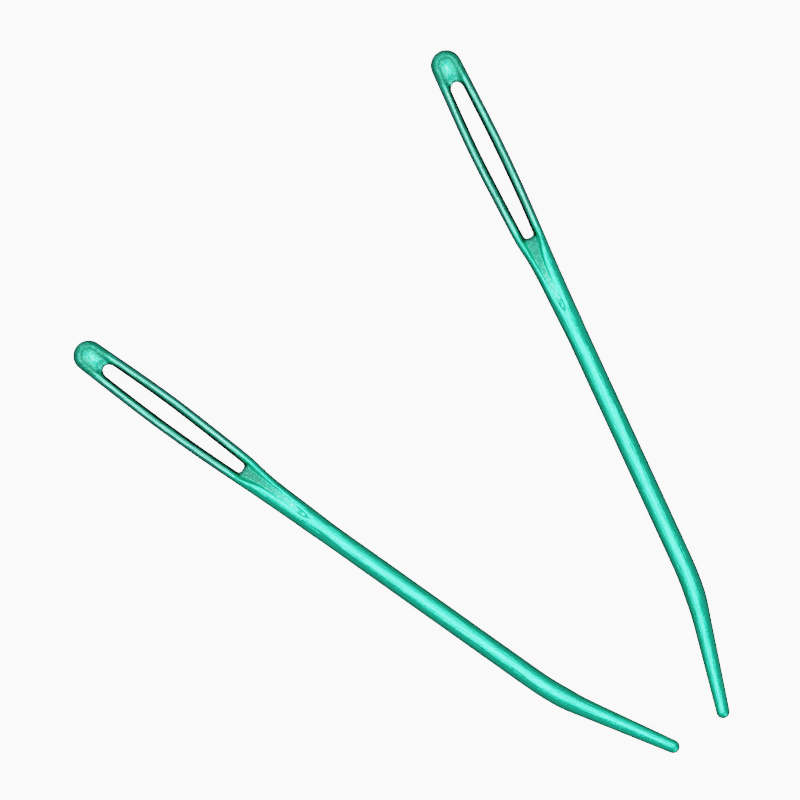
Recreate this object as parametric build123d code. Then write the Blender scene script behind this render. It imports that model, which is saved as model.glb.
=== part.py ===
from build123d import *
from collections import namedtuple
from math import acos, atan2, cos, degrees, hypot, radians, sin, sqrt
import os

# A pair of bent-tip yarn needles, lying side by side with their points close together.
# Each needle is one length of drawn aluminium wire. One end is pressed between two dies
# into a long eye with a trough along each face. The other end is bent and tapered to a
# blunt round point. All sizes are in millimetres.

# Wire and the bent, tapered end
wire_diameter = 2.1
straight_length = 54.6  # from the end of the head to the start of the bend
bend_radius = 27.0  # of the wire's centre line
full_bend_angle = 7.6  # degrees of the bend where the wire keeps its full diameter
neck_bend_angle = 4.2  # degrees of the bend where it narrows to the neck
neck_diameter = 1.83
tip_length = 10.05  # from the end of the bend to the end of the point
tip_diameter = 1.32  # of the round end

# Plan of the eye: its width from side to side, and how far its middle stands off the
# wire's axis, towards the side that the point bends to
head_width = 3.05
head_offset = 0.60
belly_width = 3.47
belly_offset = 0.46
cheek_width = 3.26
cheek_offset = 0.32
throat_width = 2.94
throat_offset = 0.25
shoulder_width = 2.56
shoulder_offset = 0.12
nose_width = 2.28
nose_offset = 0.04

# Slot for the yarn, and the rail that runs round it
rail_width = 1.0
slot_start = 3.22  # from the end of the head
slot_length = 16.75
slot_corner = 0.40  # radius of its two corners on the wire's side
belly_place = 0.40  # share of the slot's length where the eye is widest
cheek_place = 0.76  # share of the slot's length where the eye starts to close

# Section of the eye, and the trough that a die presses along each face
eye_thickness = 1.50  # over the rails
web_thickness = 0.70  # between the floors of the two troughs
floor_margin = 0.10  # how much narrower than the slot the floor is, on each side
floor_crown = 0.12  # how much the floor rises in its middle, as a share of its width
floor_share = 0.55  # share of the trough's width that is floor, past the slot
flank_draft = 0.15  # how steeply a flank still rises past the crest
shoulder_run = 2.3  # from the slot to the end of the shoulder
shoulder_thickness = 1.80
shoulder_trough = 1.30  # width of the trough there
shoulder_depth = 0.45  # and its depth
trough_run = 7.9  # from the slot to the trough's pointed end
nose_length = 0.9  # of the pointed end itself
nose_thickness = 2.05
nose_trough = 0.40  # width of the trough where its pointed end starts
nose_depth = 0.12  # and its depth there
point_trough = 0.06  # width of the trough at the very end
fade_run = 3.0  # from the trough's end to the full round wire
section_spacing = 1.7  # between the sections that shape the eye

# How the two needles lie
first_direction = -35.36  # degrees from +X, head to point, of the first needle's shank
fan_angle = 29.85  # degrees between the two shanks
tip_gap = 4.56  # clear distance between the two round points
tip_gap_direction = 34.95  # degrees from +X, from the first point to the second

# Worked out from the sizes above
wire_radius = wire_diameter / 2
slot_end = slot_start + slot_length
trough_end = slot_end + trough_run
eye_end = trough_end + fade_run
die_clearance = wire_radius  # how far the cutting forms stand clear of the metal

# One section of the pressed wire: where it is, its width, how far it stands off the axis,
# its thickness over the crests of the rails, and the trough's width from crest to crest,
# its floor's width and its depth
Section = namedtuple("Section", "x, width, offset, thickness, trough, floor, depth")


def eye_section(x, width, offset):
    """A section beside the slot, where the trough fills all that the two rails leave."""
    floor = width - 2 * rail_width - 2 * floor_margin
    depth = (eye_thickness - web_thickness) / 2
    return Section(x, width, offset, eye_thickness, width - rail_width, floor, depth)


def run_out_section(x, width, offset, thickness, trough, depth):
    """A section past the slot, where the trough narrows to its point."""
    return Section(x, width, offset, thickness, trough, floor_share * trough, depth)


nose_place = trough_end - nose_length
head = eye_section(head_width / 2, head_width, head_offset)
belly = eye_section(slot_start + belly_place * slot_length, belly_width, belly_offset)
cheek = eye_section(slot_start + cheek_place * slot_length, cheek_width, cheek_offset)
throat = eye_section(slot_end, throat_width, throat_offset)
shoulder = run_out_section(
    slot_end + shoulder_run,
    shoulder_width,
    shoulder_offset,
    shoulder_thickness,
    shoulder_trough,
    shoulder_depth,
)
nose = run_out_section(nose_place, nose_width, nose_offset, nose_thickness, nose_trough, nose_depth)
wire_end = Section(eye_end, wire_diameter, 0, wire_diameter, 0, 0, 0)
eye_keys = [head, belly, cheek, throat, shoulder, nose]


def slopes(keys, i):
    """Rate of change of every size at one key section, from the sections beside it."""
    before, after = keys[max(i - 1, 0)], keys[min(i + 1, len(keys) - 1)]
    return [(c - a) / (after.x - before.x) for a, c in zip(before, after)]


def section_at(keys, x):
    """The section at any place along the wire, on smooth curves through the key sections."""
    i = max(k for k in range(len(keys) - 1) if k == 0 or keys[k].x <= x)
    run = keys[i + 1].x - keys[i].x
    t = (x - keys[i].x) / run
    from_a, from_b = (1 + 2 * t) * (1 - t) ** 2, (3 - 2 * t) * t**2
    turn_a, turn_b = run * t * (1 - t) ** 2, run * (t - 1) * t**2
    ends = zip(keys[i], keys[i + 1], slopes(keys, i), slopes(keys, i + 1))
    return Section(*[from_a * a + from_b * b + turn_a * da + turn_b * db for a, b, da, db in ends])


def even_sections(keys):
    """Evenly spaced sections from the first key section to the last."""
    length = keys[-1].x - keys[0].x
    count = round(length / section_spacing)
    return [section_at(keys, keys[0].x + length * i / count) for i in range(count + 1)]


def across(section):
    """The plane square to the wire at a section, with its X across the eye and its Y up."""
    return Plane(origin=(section.x, section.offset, 0), x_dir=(0, 1, 0), z_dir=(1, 0, 0))


def round_headed(faces):
    """A bar through faces along the wire, whose head end is its first face spun half round."""
    spin = Axis((head.x, head.offset, 0), (0, 0, 1))
    one_half = across(head) * Pos(head.width, 0) * Rectangle(2 * head.width, 8 * wire_diameter)
    return revolve(faces[0] & one_half, spin, 180) + loft(faces)


def oval(section):
    """The pressed wire's outer form, an ellipse that meets the crests of the rails."""
    height = section.thickness / 2 / sqrt(1 - (section.trough / section.width) ** 2)
    quarters = [
        EllipticalCenterArc((0, 0), section.width / 2, height, start, arc_size=90)
        for start in (0, 90, 180, 270)
    ]
    return across(section) * make_face(quarters)


def trough_profile(section):
    """What a die clears: a crowned floor, and round flanks that pass out over the crests."""
    crest, top = section.trough / 2, section.thickness / 2
    floor, low = section.floor / 2, top - section.depth
    side = section.width / 2 + die_clearance
    rise = top + flank_draft * (side - crest)
    t = sqrt((crest - floor) / (side - floor))  # where along the flank the crest lies
    bulge = (top - (1 - t) ** 2 * low - t**2 * rise) / (2 * t * (1 - t))
    lid = wire_radius + 2 * die_clearance
    flank = Bezier((floor, low), (floor, bulge), (side, rise))
    wall = Line((side, rise), (side, lid))
    crown = low + floor_crown * section.floor
    bottom = Bezier((-floor, low), (0, 2 * crown - low), (floor, low))
    ceiling = Line((side, lid), (-side, lid))
    edges = [bottom, flank, wall, ceiling, mirror(wall, Plane.YZ), mirror(flank, Plane.YZ)]
    return across(section) * make_face(edges)


def trough():
    """The trough of the upper face: round-ended in the head, pointed at its end on the wire."""
    body = [trough_profile(s) for s in even_sections(eye_keys)]
    point_depth = nose_depth / 2
    tip = nose._replace(x=trough_end, trough=point_trough, floor=floor_share * point_trough, depth=point_depth)
    return round_headed(body) + loft([body[-1], trough_profile(tip)])


def slot():
    """The yarn's slot: round at the head, bowed like the eye, nearly square towards the wire."""
    mouth = head.width / 2 - rail_width
    bowed = [(s.x, s.offset, s.width / 2 - rail_width) for s in (belly, cheek, throat)]
    edge = [(slot_start + mouth, head_offset, mouth), *bowed]
    upper = Spline(*[(x, offset + half) for x, offset, half in edge])
    lower = Spline(*[(x, offset - half) for x, offset, half in edge])
    round_end = ThreePointArc(upper @ 0, (slot_start, head_offset), lower @ 0)
    square_end = Line(upper @ 1, lower @ 1)
    outline = make_face([upper, square_end, lower, round_end])
    corners = outline.vertices().filter_by_position(Axis.X, slot_end - slot_corner, slot_end + slot_corner)
    return extrude(fillet(corners, slot_corner), wire_diameter, both=True)


def bent_end():
    """The wire's bend, the neck that narrows in it, and the long taper to a round point."""
    start = Plane(origin=(eye_end, 0, 0), x_dir=(0, 1, 0), z_dir=(1, 0, 0))
    shank = extrude(start * Circle(wire_radius), straight_length - eye_end)
    centre = (straight_length, bend_radius)
    full = CenterArc(centre, bend_radius, -90, full_bend_angle)
    necking = CenterArc(centre, bend_radius, full_bend_angle - 90, neck_bend_angle)
    bend = sweep((full ^ 0) * Circle(wire_radius), path=full)
    neck = sweep(
        [(necking ^ 0) * Circle(wire_radius), (necking ^ 1) * Circle(neck_diameter / 2)],
        path=necking,
        multisection=True,
    )
    return shank + bend + neck + point(necking ^ 1)


def point(seat):
    """A cone that runs tangent into a ball, standing on the end of the bend."""
    ball = tip_diameter / 2
    reach = tip_length - ball
    base = neck_diameter / 2
    slope = acos(ball / hypot(reach, base)) - atan2(reach, base)
    rim = (ball * cos(slope), reach + ball * sin(slope))
    profile = make_face(
        [
            Line((0, 0), (base, 0)),
            Line((base, 0), rim),
            CenterArc((0, reach), ball, degrees(slope), 90 - degrees(slope)),
            Line((0, tip_length), (0, 0)),
        ]
    )
    return seat * revolve(Plane.XZ * profile, Axis.Z)


def needle():
    """One needle, its shank along +X, its point bent towards +Y, its eye flat on the XY plane."""
    spread_wire = round_headed([oval(s) for s in even_sections(eye_keys)])
    fade = loft([oval(s) for s in even_sections([nose, wire_end])])
    upper = trough()
    eye = spread_wire + fade - upper - mirror(upper, Plane.XY) - slot()
    return eye + bent_end()


def point_middle():
    """The middle of the round point, in the needle's own frame."""
    bend = radians(full_bend_angle + neck_bend_angle)
    reach = tip_length - tip_diameter / 2
    x = straight_length + bend_radius * sin(bend) + reach * cos(bend)
    y = bend_radius * (1 - cos(bend)) + reach * sin(bend)
    return Vector(x, y, 0)


def laid(shape, middle, direction, place):
    """A needle turned to its direction, with the middle of its round point at a place."""
    return Pos(*place) * Rot(Z=direction) * Pos(*-middle) * shape


one = needle()
middle = point_middle()
over = Rot(X=180)
between_points = tip_gap + tip_diameter
second_place = Vector(between_points, 0, 0).rotate(Axis.Z, tip_gap_direction)
left_needle = laid(one, middle, first_direction, Vector(0, 0, 0))
right_needle = laid(over * one, Vector(middle.X, -middle.Y, 0), first_direction - fan_angle, second_place)

# The wires lie on the table, and the origin is on the table under the middle of the pair
centre = Compound([left_needle, right_needle]).bounding_box().center()
to_origin = Pos(-centre.X, -centre.Y, wire_radius)
os.makedirs("parts", exist_ok=True)
for name, shape in (("left_needle", left_needle), ("right_needle", right_needle)):
    export_step(to_origin * shape, f"parts/{name}.step")
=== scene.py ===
from math import acos, atan2, cos, hypot, pi, radians, sin, sqrt

import bmesh
import bpy
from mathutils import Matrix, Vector


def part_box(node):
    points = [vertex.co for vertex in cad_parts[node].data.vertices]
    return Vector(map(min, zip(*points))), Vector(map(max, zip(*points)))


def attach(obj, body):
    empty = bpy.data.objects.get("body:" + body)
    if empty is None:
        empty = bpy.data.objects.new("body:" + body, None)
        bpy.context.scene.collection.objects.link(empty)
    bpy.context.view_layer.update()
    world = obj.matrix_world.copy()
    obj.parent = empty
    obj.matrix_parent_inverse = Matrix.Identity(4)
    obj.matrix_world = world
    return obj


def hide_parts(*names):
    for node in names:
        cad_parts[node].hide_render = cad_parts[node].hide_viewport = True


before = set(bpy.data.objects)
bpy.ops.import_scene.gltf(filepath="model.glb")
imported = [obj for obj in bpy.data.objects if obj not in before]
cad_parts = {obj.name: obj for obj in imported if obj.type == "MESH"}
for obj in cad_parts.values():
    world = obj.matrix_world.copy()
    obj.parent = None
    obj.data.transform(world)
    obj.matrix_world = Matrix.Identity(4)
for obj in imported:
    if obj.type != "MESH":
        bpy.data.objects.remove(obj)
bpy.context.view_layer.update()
bpy.ops.object.select_all(action="DESELECT")

# Left needle: one length of drawn aluminium wire, dyed green and anodised. It is drawn out
# here as a plain round tube, pressed into an eye at one end, and bent and tapered at the
# other, in millimetres with the shank on the X axis, and then laid in its place.
wire_radius = 1.05
straight_length = 54.6
bend_radius = 27.0
full_bend = radians(7.6)
neck_bend = radians(4.2)
neck_radius = 0.915
tip_length = 10.05
tip_radius = 0.66
slot_start = 3.22
slot_end = 19.97
trough_end = 27.87
fade_end = 30.87
ring_points = 44
quarter_points = ring_points // 4

# Sections of the pressed wire: place along it, width, offset to the side the point bends
# to, thickness over the rails, and how far apart the crests are, with the floor's width,
# its depth below the crests and the height of its crown
head = (1.525, 3.05, 0.60, 1.46, 1.94, 1.10, 0.13, 0.15)
belly = (9.92, 3.47, 0.46, 1.50, 2.62, 1.47, 0.47, 0.00)
cheek = (15.95, 3.26, 0.32, 1.50, 2.40, 1.26, 0.47, 0.00)
throat = (slot_end, 2.94, 0.25, 1.50, 1.94, 0.94, 0.44, 0.02)
shoulder = (22.27, 2.56, 0.12, 1.80, 1.12, 0.58, 0.26, 0.02)
waist = (24.2, 2.40, 0.07, 1.94, 0.80, 0.40, 0.10, 0.02)
nose = (26.3, 2.30, 0.05, 2.04, 0.62, 0.22, 0.05, 0.00)
notch = (27.35, 2.26, 0.04, 2.06, 0.48, 0.26, 0.17, 0.00)
trough_tip = (trough_end, 2.24, 0.03, 2.07, 0.12, 0.06, 0.02, 0.00)
pressed = [head, belly, cheek, throat, shoulder, waist, nose, notch, trough_tip]


def section(x):
    """The pressed wire's section at x, on smooth curves through the sections above."""
    i = max(k for k in range(len(pressed) - 1) if k == 0 or pressed[k][0] <= x)
    a, b = pressed[i], pressed[i + 1]
    before, after = pressed[max(i - 1, 0)], pressed[min(i + 2, len(pressed) - 1)]
    run = b[0] - a[0]
    t = (x - a[0]) / run
    values = []
    for p, q, r, s in zip(before, a, b, after):
        leave = run * (r - p) / (b[0] - before[0])
        arrive = run * (s - q) / (after[0] - a[0])
        values.append(
            (1 + 2 * t) * (1 - t) ** 2 * q + (3 - 2 * t) * t**2 * r + t * (1 - t) ** 2 * leave
            + t**2 * (t - 1) * arrive
        )
    return values


def ease(share):
    """A share of a run from 0 to 1, with a soft start and end."""
    share = min(max(share, 0), 1)
    return share * share * (3 - 2 * share)


# The head's crests lean outwards, and level off along the slot. The rails are round inside
# too, and where the slot ends its rim is rounded. Half way out on the floor the crown is three
# quarters of its height, and a flank takes six steps up to its crest
head_lean = radians(24)
lean_end = 2.2
lean_fade = 2.4
rail_fade = 0.9
inner_round = 0.97
rim_radius = 0.30
half_way_crown = 0.75
flank_steps = 6
floor_steps = quarter_points - flank_steps


def quarter(x):
    """A quarter of the ring at x, from its side up to the middle of its upper face."""
    if x > trough_end:
        even = ease((x - trough_end) / (fade_end - trough_end))
        _, width, _, thickness, crest, *_ = section(trough_end)
        half_width = width / 2 + (wire_radius - width / 2) * even
        half_height = thickness / 2 + (wire_radius - thickness / 2) * even
        crest_turn = acos(crest / width)
        turns = []
        for i in range(quarter_points + 1):
            up_flank = min(i / flank_steps, 1) * crest_turn
            over_crest = max(i - flank_steps, 0) / floor_steps * (pi / 2 - crest_turn)
            pressed_turn = up_flank + over_crest
            turns.append(pressed_turn + (i / quarter_points * pi / 2 - pressed_turn) * even)
        return [(half_width * cos(turn), half_height * sin(turn)) for turn in turns]
    _, width, _, thickness, crest, floor, depth, crown = section(x)
    side, top, crest, floor = width / 2, thickness / 2, crest / 2, floor / 2
    flank_turn = pi / 2 - head_lean * (1 - ease((x - lean_end) / lean_fade))
    flank_width = (side - crest) / (1 - cos(flank_turn))
    points = []
    for i in range(flank_steps + 1):
        turn = i / flank_steps * flank_turn
        points.append((side - flank_width * (1 - cos(turn)), top * sin(turn) / sin(flank_turn)))
    along_slot = ease(min(x - slot_start, slot_end - x) / rail_fade)
    past_slot = max(slot_start - x, x - slot_end, 0)
    rim_drop = rim_radius - sqrt(rim_radius**2 - max(rim_radius - past_slot, 0) ** 2)
    for share in (1 / 3, 2 / 3, 1):
        pressed_drop = depth * ease(share) + rim_drop * share**3
        round_drop = top * (1 - sqrt(1 - (inner_round * share) ** 2))
        drop = pressed_drop + (round_drop - pressed_drop) * along_slot
        points.append((crest + (floor - crest) * share, top - drop))
    points.append((floor / 2, top - depth + crown * half_way_crown - rim_drop))
    points.append((0, top - depth + crown - rim_drop))
    return points


def offset(x):
    """How far the middle of the wire stands off its axis at x."""
    if x > trough_end:
        share = min((x - trough_end) / (fade_end - trough_end), 1)
        return section(trough_end)[2] * (1 - share) ** 2
    return section(x)[2]


# Past the slot the trough swings towards the side that the point bends to, and partly back
swing = 0.25
swing_start, swing_run = slot_end + 0.3, 2.2
return_start, return_run, return_share = 25, 2.4, 0.6


def trough_shift(x):
    """How far the trough has swung aside at x."""
    returned = return_share * ease((x - return_start) / return_run)
    return swing * ease((x - swing_start) / swing_run) * (1 - returned)


def pick(obj, test, kind="VERT"):
    """Selects the points or faces of the mesh in edit mode whose place passes the test."""
    bpy.ops.mesh.select_mode(type=kind)
    bpy.ops.mesh.select_all(action="DESELECT")
    mesh = bmesh.from_edit_mesh(obj.data)
    if kind == "FACE":
        for face in mesh.faces:
            face.select_set(test(face.calc_center_median()))
    else:
        for point in mesh.verts:
            point.select_set(test(point.co))
        mesh.select_flush(True)
    bmesh.update_edit_mesh(obj.data)


# The rings of points along the wire: close together where the slot ends and at the notch
slot_rings = 10
slot_round = 0.55
slot_square = 0.40
slot_corner = 0.14
ring_gap = 0.5
notch_half = 0.2
slot_mouth = slot_start + slot_round
slot_run = slot_end - slot_square - slot_mouth
eye_places = [head[0], 2.15, 2.75, slot_mouth, slot_mouth + ring_gap]
eye_places += [slot_mouth + slot_run * i / slot_rings for i in range(1, slot_rings)]
eye_places += [slot_end - slot_square - ring_gap, slot_end - slot_square, slot_end]
eye_places += [slot_end + rim_radius / 3, slot_end + rim_radius]
eye_places += [20.5, 21.0, 21.6, 22.4, 23.3, 24.3, 25.3, 26.2, 26.8]
eye_places += [notch[0] - notch_half, notch[0], notch[0] + notch_half, trough_end]
wire_places = [28.2, 28.7, 29.4, 30.1, fade_end, 32, 36, 41, 46, 50, 53, straight_length]
places = eye_places + wire_places

bpy.ops.mesh.primitive_circle_add(
    vertices=ring_points, radius=wire_radius, location=(places[0], 0, 0), rotation=(pi / 2, 0, pi / 2)
)
left = bpy.context.object
left.name = "left_needle_wire"
left.data.name = "left_needle_wire"
bpy.ops.object.transform_apply(location=True, rotation=True, scale=True)
bpy.ops.object.mode_set(mode="EDIT")
bpy.ops.mesh.select_all(action="SELECT")
for before, place in zip(places, places[1:]):
    bpy.ops.mesh.extrude_region_move(TRANSFORM_OT_translate={"value": (place - before, 0, 0)})

# The bend: the end ring is drawn round the bend's centre, and narrows to the neck
bend_centre = Vector((straight_length, bend_radius, 0))
steps = [(full_bend / 3, 1)] * 3 + [(neck_bend / 2, (neck_radius / wire_radius) ** 0.5)] * 2
turned = 0
for turn, narrowing in steps:
    bpy.ops.mesh.extrude_region_move(TRANSFORM_OT_translate={"value": (0, 0, 0)})
    bpy.ops.transform.rotate(value=-turn, orient_axis="Z", center_override=bend_centre)
    turned += turn
    middle = bend_centre + bend_radius * Vector((sin(turned), -cos(turned), 0))
    bpy.ops.transform.resize(value=(narrowing,) * 3, center_override=middle)

# The taper: a cone that runs tangent into the ball of the point
onward = Vector((cos(turned), sin(turned), 0))
reach = tip_length - tip_radius
slope = acos(tip_radius / hypot(reach, neck_radius)) - atan2(reach, neck_radius)
cone_length = reach + tip_radius * sin(slope)
cone_end = tip_radius * cos(slope)
cone_steps, ball_steps = 4, 6
rings = []
for i in range(1, cone_steps + 1):
    cone_radius = neck_radius + (cone_end - neck_radius) * i / cone_steps
    rings.append((cone_length * i / cone_steps, cone_radius))
for i in range(1, ball_steps):
    turn = slope + (pi / 2 - slope) * i / ball_steps
    rings.append((reach + tip_radius * sin(turn), tip_radius * cos(turn)))
travelled, radius = 0, neck_radius
for distance, wanted in rings:
    step = onward * (distance - travelled)
    bpy.ops.mesh.extrude_region_move(TRANSFORM_OT_translate={"value": step})
    travelled = distance
    bpy.ops.transform.resize(value=(wanted / radius,) * 3, center_override=middle + onward * distance)
    radius = wanted
last_step = onward * (tip_length - travelled)
bpy.ops.mesh.extrude_region_move(TRANSFORM_OT_translate={"value": last_step})
bpy.ops.mesh.merge(type="CENTER")

# The eye: each ring is pressed, four points at a time, from a circle to its section
close_enough = 1e-3
for place in places:
    if place > fade_end:
        continue
    for i, (y, z) in enumerate(quarter(place)):
        turn = i / quarter_points * pi / 2
        was_y, was_z = wire_radius * cos(turn), wire_radius * sin(turn)
        pick(
            left,
            lambda co: abs(co.x - place) < close_enough
            and abs(abs(co.y) - was_y) < close_enough
            and abs(abs(co.z) - was_z) < close_enough,
        )
        wider = y / was_y if i < quarter_points else 1
        taller = z / was_z if i else 1
        bpy.ops.transform.resize(value=(1, wider, taller), center_override=(place, 0, 0))
        follow = min(i / flank_steps, 1) ** 2
        bpy.ops.transform.translate(value=(0, trough_shift(place) * follow, 0))
    pick(left, lambda co: abs(co.x - place) < close_enough)
    bpy.ops.transform.translate(value=(0, offset(place), 0))

# The head: the first ring's outer half is spun round to its other half
head_middle = (head[0], head[2], 0)
pick(left, lambda co: abs(co.x - head[0]) < close_enough and co.y > head[2] - close_enough)
bpy.ops.mesh.spin(steps=14, angle=-pi, center=head_middle, axis=(0, 0, 1))
bpy.ops.mesh.select_all(action="SELECT")
bpy.ops.mesh.remove_doubles(threshold=close_enough)


def floor_half(x):
    """Half the width of the slot or of the trough's floor at x."""
    return section(x)[5] / 2


# The slot: pierced through both faces, and its two rims joined by the slot's wall
pick(
    left,
    lambda co: slot_mouth < co.x < slot_end and abs(co.y - offset(co.x)) < floor_half(co.x),
    "FACE",
)
bpy.ops.mesh.delete(type="FACE")
bpy.ops.mesh.select_mode(type="EDGE")
bpy.ops.mesh.select_all(action="DESELECT")
bpy.ops.mesh.select_non_manifold(extend=False, use_wire=False, use_multi_face=False)
bpy.ops.mesh.bridge_edge_loops(number_cuts=1)

# How near a point has to be to a place on the rim to be taken for it
on_rim = 1e-2


def move_rim(x, share, back):
    """Moves the slot's rim back towards the head at x, a share of the way out from its middle."""
    out = share * floor_half(x)
    pick(left, lambda co: abs(co.x - x) < on_rim and abs(abs(co.y - offset(x)) - out) < on_rim)
    bpy.ops.transform.translate(value=(-back, 0, 0))


# Its end at the head is round, and at the other end only the corners are
move_rim(slot_mouth, share=0, back=slot_round * 0.80)
move_rim(slot_mouth, share=0.5, back=slot_round * 0.68)
move_rim(slot_end, share=1, back=slot_corner)
bpy.ops.mesh.select_all(action="SELECT")
bpy.ops.mesh.normals_make_consistent(inside=False)
bpy.ops.object.mode_set(mode="OBJECT")
smooth = left.modifiers.new("smooth", "SUBSURF")
smooth.levels = smooth.render_levels = 2
bpy.ops.object.modifier_apply(modifier="smooth")
bpy.ops.object.shade_smooth()


def along_wire(co):
    """A place on the bent needle, as it was on the straight wire."""
    turn = atan2(co.x - straight_length, bend_radius - co.y)
    whole = full_bend + neck_bend
    if turn <= 0:
        return co.copy()
    if turn <= whole:
        out = bend_radius - hypot(co.x - straight_length, bend_radius - co.y)
        return Vector((straight_length + bend_radius * turn, out, co.z))
    end = bend_centre + bend_radius * Vector((sin(whole), -cos(whole), 0))
    past = co - end
    forward = past.x * cos(whole) + past.y * sin(whole)
    side = past.y * cos(whole) - past.x * sin(whole)
    return Vector((straight_length + bend_radius * whole + forward, side, co.z))


# How hard the dies bit on the head's crown, round it, and at the trough's far end, which also
# sets how deep the painted shade is there
crown_bite = 0.35
rim_bite_and_shade = 0.90
far_bite = 0.15
crown_radius, crown_fade = 0.25, 0.35


def die_mark_and_shade(co):
    """How much of the die's rough face a place carries, and how much painted shade it gets: most
    round the head's crown, darkening its rim, and on the trough's floor where the slot ends."""
    if co.x > trough_end or slot_start < co.x < slot_end:
        return 0.0
    nearest = max(co.x, head[0])
    away = hypot(co.x - nearest, co.y - offset(nearest) - trough_shift(nearest))
    if co.x < slot_start:
        off_crown = ease((away - crown_radius) / crown_fade)
        bite = crown_bite + (rim_bite_and_shade - crown_bite) * off_crown
        # Off the crown the mark rises, so the rim round the head gets the most painted shade
        return bite * ease((slot_start + 0.6 - co.x) / 1.2)
    on_floor = ease(1.7 - 2 * away / (section(nearest)[4] / 2))
    along_floor = ease((co.x - slot_end - 1) / (trough_end - slot_end - 1))
    return on_floor * (1 - (1 - far_bite) * along_floor)


def rail_mark(co):
    """How much a place is beside the slot, where pressing leaves the rails duller."""
    return ease((co.x - slot_start + 1) / 2) * ease((slot_end + 1.2 - co.x) / 4)


# How far from the slot the painted shade on its wall ends, and how far it takes to fade
wall_reach = 0.40
wall_fade = 0.35


def wall_painted_shade(co):
    """How much painted shade a place gets on the slot's pierced wall and just beside it."""
    if not slot_start < co.x < slot_end + 1:
        return 0.0
    beside = max(abs(co.y - offset(co.x)) - floor_half(co.x), 0)
    away = hypot(beside, max(co.x - slot_end, 0))
    return ease((wall_reach - away) / wall_fade) * ease((co.x - slot_start - 0.3) / 0.8)


left.data.attributes.new("wire", "FLOAT_VECTOR", "POINT")
straightened = [along_wire(point.co.copy()) for point in left.data.vertices]
for place, straight in zip(left.data.attributes["wire"].data, straightened):
    place.vector = straight
for name, mark in (("die_mark_and_shade", die_mark_and_shade), ("rail_mark", rail_mark), ("wall_painted_shade", wall_painted_shade)):
    marked = left.data.attributes.new(name, "FLOAT", "POINT")
    for place, straight in zip(marked.data, straightened):
        place.value = mark(straight)

# The anodised skin: the dye lies in a clear hard layer on bright metal, so the metal tints
# what it reflects and the layer over it reflects white. Drawing leaves fine lines along the
# wire, and the dies leave a rough grain on the head and on the floors of the troughs.
dye = (0.012, 0.60, 0.36, 1)
deep_dye = (0.009, 0.52, 0.32, 1)
rail_dye = (0.045, 0.27, 0.21, 1)
# A dark green laid on as painted shade in the hollows and on the slot's wall
painted_shade_colour = (0.008, 0.13, 0.095, 1)
worn_dye = (0.22, 0.76, 0.61, 1)
finish = bpy.data.materials.new("green_anodised_wire")
finish.use_nodes = True
nodes, links = finish.node_tree.nodes, finish.node_tree.links
skin = nodes["Principled BSDF"]
skin.inputs["Metallic"].default_value = 1
skin.inputs["Coat Weight"].default_value = 1
skin.inputs["Coat Roughness"].default_value = 0.16
skin.inputs["Coat IOR"].default_value = 1.38


def from_wire(name, output="Fac"):
    """What the mesh says about each place on the wire, under this name."""
    node = nodes.new("ShaderNodeAttribute")
    node.attribute_name = name
    return node.outputs[output]


wire_place = from_wire("wire", "Vector")
die_face_and_shade = from_wire("die_mark_and_shade")
rail = from_wire("rail_mark")
wall = from_wire("wall_painted_shade")


def pattern(stretch, size, detail):
    """Noise over the wire, stretched along it, with its size in millimetres."""
    place = nodes.new("ShaderNodeMapping")
    place.inputs["Scale"].default_value = (1 / stretch, 1, 1)
    noise = nodes.new("ShaderNodeTexNoise")
    noise.inputs["Scale"].default_value = 1 / size
    noise.inputs["Detail"].default_value = detail
    links.new(wire_place, place.inputs["Vector"])
    links.new(place.outputs["Vector"], noise.inputs["Vector"])
    return noise.outputs["Fac"]


def spread(value, low, high, start=0.3, end=0.7):
    """Turns a pattern's middle range into low to high."""
    node = nodes.new("ShaderNodeMapRange")
    node.inputs["From Min"].default_value = start
    node.inputs["From Max"].default_value = end
    node.inputs["To Min"].default_value = low
    node.inputs["To Max"].default_value = high
    links.new(value, node.inputs["Value"])
    return node.outputs["Result"]


def together(operation, a, b):
    """One value worked out from two others."""
    node = nodes.new("ShaderNodeMath")
    node.operation = operation
    for value, socket in zip((a, b), node.inputs):
        if isinstance(value, (int, float)):
            socket.default_value = value
        else:
            links.new(value, socket)
    return node.outputs["Value"]


def blended(share, a, b):
    """A colour that goes from a to b as the share goes from 0 to 1."""
    node = nodes.new("ShaderNodeMix")
    node.data_type = "RGBA"
    links.new(share, node.inputs["Factor"])
    for value, socket in ((a, node.inputs["A"]), (b, node.inputs["B"])):
        if isinstance(value, tuple):
            socket.default_value = value
        else:
            links.new(value, socket)
    return node.outputs["Result"]


draw_lines = pattern(stretch=14, size=0.16, detail=5)
clouds = pattern(stretch=3, size=1.6, detail=2)
grain = pattern(stretch=1.6, size=0.17, detail=4)
specks = pattern(stretch=1.8, size=0.11, detail=1)

# The dye is duller on the rails, and thinner on the high specks where the die bit half as much.
# Painted shade darkens it on the slot's wall, and, with the die's grain, where the die bit most
most_bitten = 0.85
speck_strength = 2.2
stray_specks = 0.04
rail_share = 0.85
wall_shade_share = 0.85
left_unbitten = together("MAXIMUM", together("SUBTRACT", most_bitten, die_face_and_shade), 0)
half_bitten = together("MULTIPLY", die_face_and_shade, left_unbitten)
speck_share = together("ADD", together("MULTIPLY", half_bitten, speck_strength), stray_specks)
worn_specks = together("MULTIPLY", speck_share, spread(specks, 0, 1, 0.50, 0.70))
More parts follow.
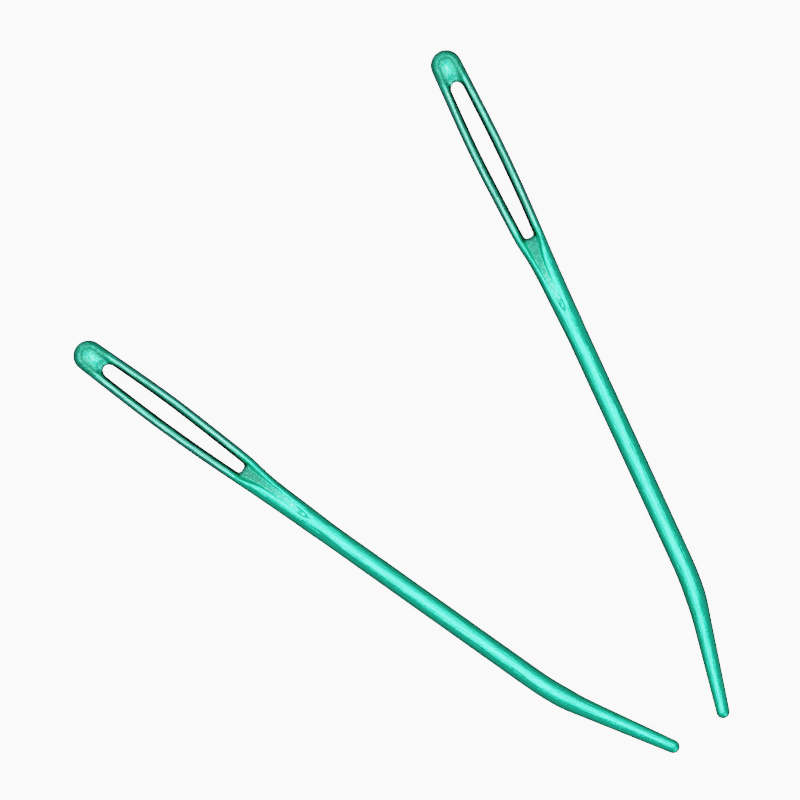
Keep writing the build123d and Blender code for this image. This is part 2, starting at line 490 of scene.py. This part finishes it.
# Painted shade, grained by the die: darkest round the head's rim and on the trough's floor by the
# slot
die_grain_and_shade = together("MULTIPLY", together("POWER", die_face_and_shade, 1.5), spread(grain, 0.6, 1))
dyed = blended(spread(clouds, 0.35, 1), deep_dye, dye)
dulled = blended(together("MULTIPLY", rail, rail_share), dyed, rail_dye)
die_shaded_colour = blended(die_grain_and_shade, dulled, painted_shade_colour)
speckled_dye = blended(worn_specks, die_shaded_colour, worn_dye)
# Painted shade on the slot's wall and on the rails' inner flanks beside it
wall_shaded_colour = blended(together("MULTIPLY", wall, wall_shade_share), speckled_dye, painted_shade_colour)
links.new(wall_shaded_colour, skin.inputs["Base Color"])

drawn_roughness = spread(draw_lines, 0.20, 0.30)
die_roughness = together("MULTIPLY", die_face_and_shade, spread(grain, 0.08, 0.30))
links.new(together("ADD", drawn_roughness, die_roughness), skin.inputs["Roughness"])

relief_depth = 0.00005
grain_height = 2
speck_height = 0.35
relief = nodes.new("ShaderNodeBump")
relief.inputs["Strength"].default_value = 1
relief.inputs["Distance"].default_value = relief_depth
die_relief = together("MULTIPLY", die_face_and_shade, together("MULTIPLY", grain, grain_height))
drawn_relief = together("ADD", draw_lines, together("MULTIPLY", specks, speck_height))
links.new(together("ADD", drawn_relief, die_relief), relief.inputs["Height"])
links.new(relief.outputs["Normal"], skin.inputs["Normal"])
links.new(relief.outputs["Normal"], skin.inputs["Coat Normal"])
left.data.materials.append(finish)

# Right needle: a second needle of the same wire, from the same dies and with the same finish,
# so its shape is a copy. It is turned over, with its point close to the first one's.
bpy.ops.object.select_all(action="DESELECT")
left.select_set(True)
bpy.context.view_layer.objects.active = left
bpy.ops.object.duplicate(linked=False)
right = bpy.context.object
right.name = "right_needle_wire"
right.data.name = "right_needle_wire"

# Both needles are laid on the table, in metres now, by the middles of their round points. The
# frame's boxes give how low the left point is and how far right the right one, and the gap
# between the points gives the rest
first_direction = radians(-35.36)
fan_angle = radians(29.85)
points_apart = 0.00456
gap_direction = radians(34.95)
left_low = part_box("left_needle")[0]
right_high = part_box("right_needle")[1]
millimetre = 0.001
ball = tip_radius / 1000
left_point = Vector((0, left_low.y + ball, wire_radius / 1000))
right_point = Vector((right_high.x - ball, 0, wire_radius / 1000))
gap = points_apart + 2 * ball
left_point.x = right_point.x - gap * cos(gap_direction)
right_point.y = left_point.y + gap * sin(gap_direction)
point_middle = middle + onward * reach
for needle, direction, turned_over, point in (
    (left, first_direction, 0, left_point),
    (right, first_direction - fan_angle, pi, right_point),
):
    bpy.ops.object.select_all(action="DESELECT")
    needle.select_set(True)
    bpy.context.view_layer.objects.active = needle
    needle.location = -point_middle
    bpy.ops.object.transform_apply(location=True, rotation=True, scale=True)
    needle.rotation_euler = (turned_over, 0, direction)
    needle.scale = (millimetre, millimetre, millimetre)
    bpy.ops.object.transform_apply(location=True, rotation=True, scale=True)
    needle.location = point
    bpy.ops.object.transform_apply(location=True, rotation=True, scale=True)

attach(left, "left_needle")
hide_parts("left_needle")
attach(right, "right_needle")
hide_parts("right_needle")

# The table: a plain white sheet, lit so evenly that it shows no shadow. The needles don't
# mirror it, as they lie cut out on white in the photograph, with dark edges
bpy.ops.mesh.primitive_plane_add(size=2, location=(0, 0, 0))
table = bpy.context.object
table.name = "table"
paper = bpy.data.materials.new("white_paper")
paper.use_nodes = True
sheet = paper.node_tree.nodes["Principled BSDF"]
sheet.inputs["Base Color"].default_value = (0.85, 0.85, 0.85, 1)
sheet.inputs["Roughness"].default_value = 0.9
sheet.inputs["Emission Color"].default_value = (1, 1, 1, 1)
sheet.inputs["Emission Strength"].default_value = 3.2
table.data.materials.append(paper)
table.visible_glossy = False

# The room: grey walls under a paler ceiling, and darker below the table. How grey it is goes
# by how far up the view points, from -1 straight down to 1 straight up
world = bpy.data.worlds.new("room")
bpy.context.scene.world = world
world.use_nodes = True
room, room_links = world.node_tree.nodes, world.node_tree.links
seen_way = room.new("ShaderNodeTexCoord")
height = room.new("ShaderNodeSeparateXYZ")
room_links.new(seen_way.outputs["Generated"], height.inputs["Vector"])
walls = room.new("ShaderNodeFloatCurve")
walls.mapping.clip_min_x = -1
curve = walls.mapping.curves[0]
curve.points[0].location = (-1, 0.02)
curve.points[1].location = (1, 0.64)
for level, grey in ((-0.6, 0.14), (-0.3, 0.34), (0, 0.43), (0.3, 0.49)):
    curve.points.new(level, grey)
walls.mapping.update()
room_links.new(height.outputs["Z"], walls.inputs["Value"])
room_links.new(walls.outputs["Value"], room["Background"].inputs["Strength"])
room["Background"].inputs["Color"].default_value = (0.9, 1, 1.08, 1)

# The lamps: a bright strip over the needles, and a broad dimmer panel further to their eyes'
# side. Both face down and lie across the needles' mean direction
lamp_height = 2.0
strip_turn = radians(39.7)
to_points = Vector((sin(strip_turn), -cos(strip_turn), 0))


def lamp(name, place, facing, size, brightness, colour):
    """A flat lamp as bright as this on all its face, whatever its size."""
    bpy.ops.object.light_add(type="AREA", location=place, rotation=facing)
    panel = bpy.context.object
    panel.name = name
    panel.data.shape = "RECTANGLE"
    panel.data.size, panel.data.size_y = size
    panel.data.color = colour
    panel.data.energy = brightness * pi * panel.data.size * panel.data.size_y


overhead = Vector((0, 0, lamp_height))
facing_down = (0, 0, strip_turn)
strip_place = overhead + 0.10 * to_points
panel_place = overhead - 0.50 * to_points
lamp("strip", strip_place, facing_down, size=(2.24, 0.44), brightness=8, colour=(1, 1, 0.78))
lamp("panel", panel_place, facing_down, size=(5.0, 0.80), brightness=2, colour=(1, 1, 0.85))

# Two tall narrow panels stand beyond the needles' ends, and show along the wire from low down
end_distance = 2.5
end_height = Vector((0, 0, 1.3))
for name, way in (("far_end_panel", -to_points), ("near_end_panel", to_points)):
    place = end_distance * way + end_height
    facing_middle = place.to_track_quat("Z", "Y").to_euler()
    lamp(name, place, facing_middle, size=(0.7, 2.2), brightness=5, colour=(1, 1, 0.9))

# The camera looks straight down from far off, a little to the upper left of the middle, and
# frames 77.19 mm at the height of the wire's middle
frame_width = 0.07719
view_height = 0.9
sensor_width = 36
camera_place = (-0.00014, 0.00015, view_height)
bpy.ops.object.camera_add(location=camera_place, rotation=(0, 0, 0))
camera = bpy.context.object
camera.name = "camera"
camera.data.sensor_width = sensor_width
camera.data.lens = sensor_width * (view_height - wire_radius / 1000) / frame_width
camera.data.clip_start = 0.05
bpy.context.scene.camera = camera
bpy.context.scene.view_settings.view_transform = "Filmic"
bpy.context.scene.view_settings.look = "High Contrast"
